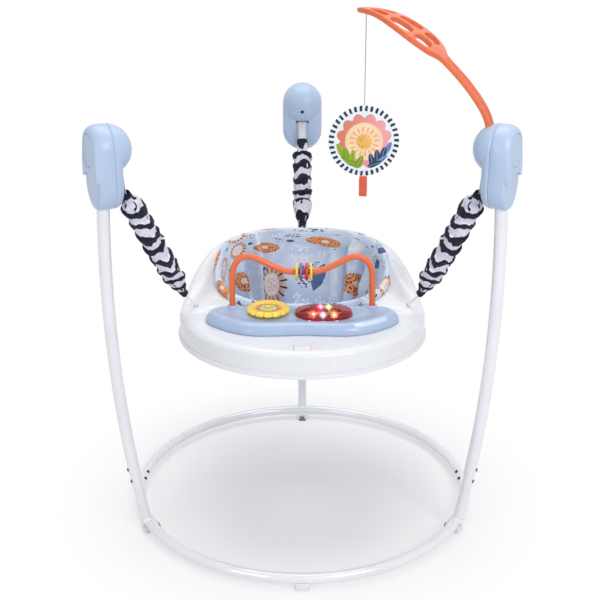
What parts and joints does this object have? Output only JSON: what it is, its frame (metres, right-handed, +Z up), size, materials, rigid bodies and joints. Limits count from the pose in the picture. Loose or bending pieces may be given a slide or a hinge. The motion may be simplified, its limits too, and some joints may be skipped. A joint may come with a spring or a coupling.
{
  "type": "baby activity jumper",
  "caption": "Free-standing jumper: a ring base and bowed legs hang a round toy tray and fabric seat on sleeved springs, with a leaf-shaped arm for a soft mobile.",
  "frame": {"origin": "on the floor under the middle of the bounding box, 33.5 mm in front of the base ring's centre", "axes": "+Z up from the floor, -Y the way the seated child faces, +X the child's left hand's side, where the leaf arm stands"},
  "size_m": [0.8822, 0.875, 1.139],
  "materials": {
    "white_painted_steel": "gloss white paint on steel tube",
    "pale_blue_plastic": "satin pale blue moulding",
    "white_plastic": "satin white moulding",
    "grey_rubber": "matt grey rubber",
    "dark_screw": "blackened steel",
    "white_webbing": "woven white webbing",
    "spring_steel": "bright spring wire",
    "striped_cloth": "white-lilac cloth with dark irregular stripes",
    "seat_cloth": "blue-grey cloth with printed motifs",
    "orange_plastic": "satin orange moulding",
    "yellow_clear_plastic": "clear yellow moulding",
    "yellow_plastic": "yellow moulding",
    "purple_plastic": "purple moulding",
    "red_plastic": "red moulding",
    "red_clear_plastic": "clear red moulding",
    "light_board": "white board with small lamps",
    "disc_cloth": "printed cloth over soft filling",
    "orange_ribbon": "woven orange ribbon",
    "cord": "grey braided cord"
  },
  "bodies": {
    "stand": {"base_ring_front": "white_painted_steel", "base_ring_rear": "white_painted_steel", "ring_screw_left": "dark_screw", "ring_screw_right": "dark_screw", "leaf_arm": "orange_plastic", "upper_leg_left": "white_painted_steel", "leg_screw_left": "dark_screw", "tower_inner_left": "pale_blue_plastic", "tower_outer_left": "pale_blue_plastic", "tower_screw_left": "dark_screw", "strap_left": "white_webbing", "spring_left": "spring_steel", "sleeve_left": "striped_cloth", "upper_leg_right": "white_painted_steel", "leg_screw_right": "dark_screw", "tower_inner_right": "pale_blue_plastic", "tower_outer_right": "pale_blue_plastic", "tower_screw_right": "dark_screw", "strap_right": "white_webbing", "spring_right": "spring_steel", "sleeve_right": "striped_cloth", "upper_leg_rear": "white_painted_steel", "leg_screw_rear": "dark_screw", "tower_inner_rear": "pale_blue_plastic", "tower_outer_rear": "pale_blue_plastic", "tower_screw_rear": "dark_screw", "strap_rear": "white_webbing", "spring_rear": "spring_steel", "sleeve_rear": "striped_cloth", "foot_front": "white_plastic", "foot_grip_front": "grey_rubber", "foot_rear": "white_plastic", "foot_grip_rear": "grey_rubber", "foot_left": "white_plastic", "foot_grip_left": "grey_rubber", "foot_right": "white_plastic", "foot_grip_right": "grey_rubber"},
    "tray_body": {"tray": "white_plastic", "console": "pale_blue_plastic", "front_latch": "white_plastic", "bead_bar": "orange_plastic", "light_board": "light_board", "battery_box": "white_plastic", "seat_fabric": "seat_cloth", "spinner_axle": "white_plastic", "hook_left": "white_plastic", "hook_right": "white_plastic", "hook_rear": "white_plastic"},
    "bead_disc_yellow_left_body": {"bead_disc_yellow_left": "yellow_plastic"},
    "bead_disc_purple_body": {"bead_disc_purple": "purple_plastic"},
    "bead_disc_red_body": {"bead_disc_red": "red_plastic"},
    "bead_disc_yellow_right_body": {"bead_disc_yellow_right": "yellow_plastic"},
    "spinner_body": {"spinner": "yellow_clear_plastic"},
    "dome_body": {"light_dome": "red_clear_plastic"},
    "button_left": {"height_button_left": "pale_blue_plastic"},
    "button_right": {"height_button_right": "pale_blue_plastic"},
    "button_rear": {"height_button_rear": "pale_blue_plastic"},
    "mobile_line": {"mobile_cord": "cord"},
    "mobile_toy": {"mobile_disc": "disc_cloth", "mobile_ribbon": "orange_ribbon"}
  },
  "joints": [
    {"name": "tray_bounce", "type": "slide", "parent": "stand", "child": "tray_body", "axis": [0, 0, 1], "range_m": [-0.12, 0.04], "stiffness_N_per_m": 900, "springref_m": 0.0329, "deforming": ["sleeve_left", "spring_left", "sleeve_right", "spring_right", "sleeve_rear", "spring_rear"]},
    {"name": "bead_disc_yellow_left_spin", "type": "hinge", "parent": "tray_body", "child": "bead_disc_yellow_left_body", "pos_m": [-0.0118, -0.1025, 0.5815], "axis": [1, 0, 0], "continuous": true},
    {"name": "bead_disc_purple_spin", "type": "hinge", "parent": "tray_body", "child": "bead_disc_purple_body", "pos_m": [-0.0028, -0.1025, 0.5815], "axis": [1, 0, 0], "continuous": true},
    {"name": "bead_disc_red_spin", "type": "hinge", "parent": "tray_body", "child": "bead_disc_red_body", "pos_m": [0.0098, -0.1025, 0.5815], "axis": [1, 0, 0], "continuous": true},
    {"name": "bead_disc_yellow_right_spin", "type": "hinge", "parent": "tray_body", "child": "bead_disc_yellow_right_body", "pos_m": [0.0192, -0.1025, 0.5815], "axis": [1, 0, 0], "continuous": true},
    {"name": "spinner_spin", "type": "hinge", "parent": "tray_body", "child": "spinner_body", "pos_m": [-0.074, -0.1395, 0.506], "axis": [0, 0, 1], "continuous": true},
    {"name": "light_dome_press", "type": "slide", "parent": "tray_body", "child": "dome_body", "axis": [0, 0, -1], "range_m": [0, 0.003], "stiffness_N_per_m": 400, "springref_m": -0.004},
    {"name": "height_button_left_press", "type": "slide", "parent": "stand", "child": "button_left", "axis": [0.8886, 0.4587, 0], "range_m": [0, 0.004], "stiffness_N_per_m": 500, "springref_m": -0.003},
    {"name": "height_button_right_press", "type": "slide", "parent": "stand", "child": "button_right", "axis": [-0.8886, 0.4587, 0], "range_m": [0, 0.004], "stiffness_N_per_m": 500, "springref_m": -0.003},
    {"name": "height_button_rear_press", "type": "slide", "parent": "stand", "child": "button_rear", "axis": [0, -1, 0], "range_m": [0, 0.004], "stiffness_N_per_m": 500, "springref_m": -0.003},
    {"name": "mobile_swing", "type": "hinge", "parent": "stand", "child": "mobile_line", "pos_m": [0.129, -0.0995, 1.1262], "axis": [0, 1, 0], "range_deg": [-30, 30]},
    {"name": "mobile_spin", "type": "hinge", "parent": "mobile_line", "child": "mobile_toy", "pos_m": [0.129, -0.0995, 0.9425], "axis": [0, 0, 1], "range_deg": [-180, 180]}
  ]
}
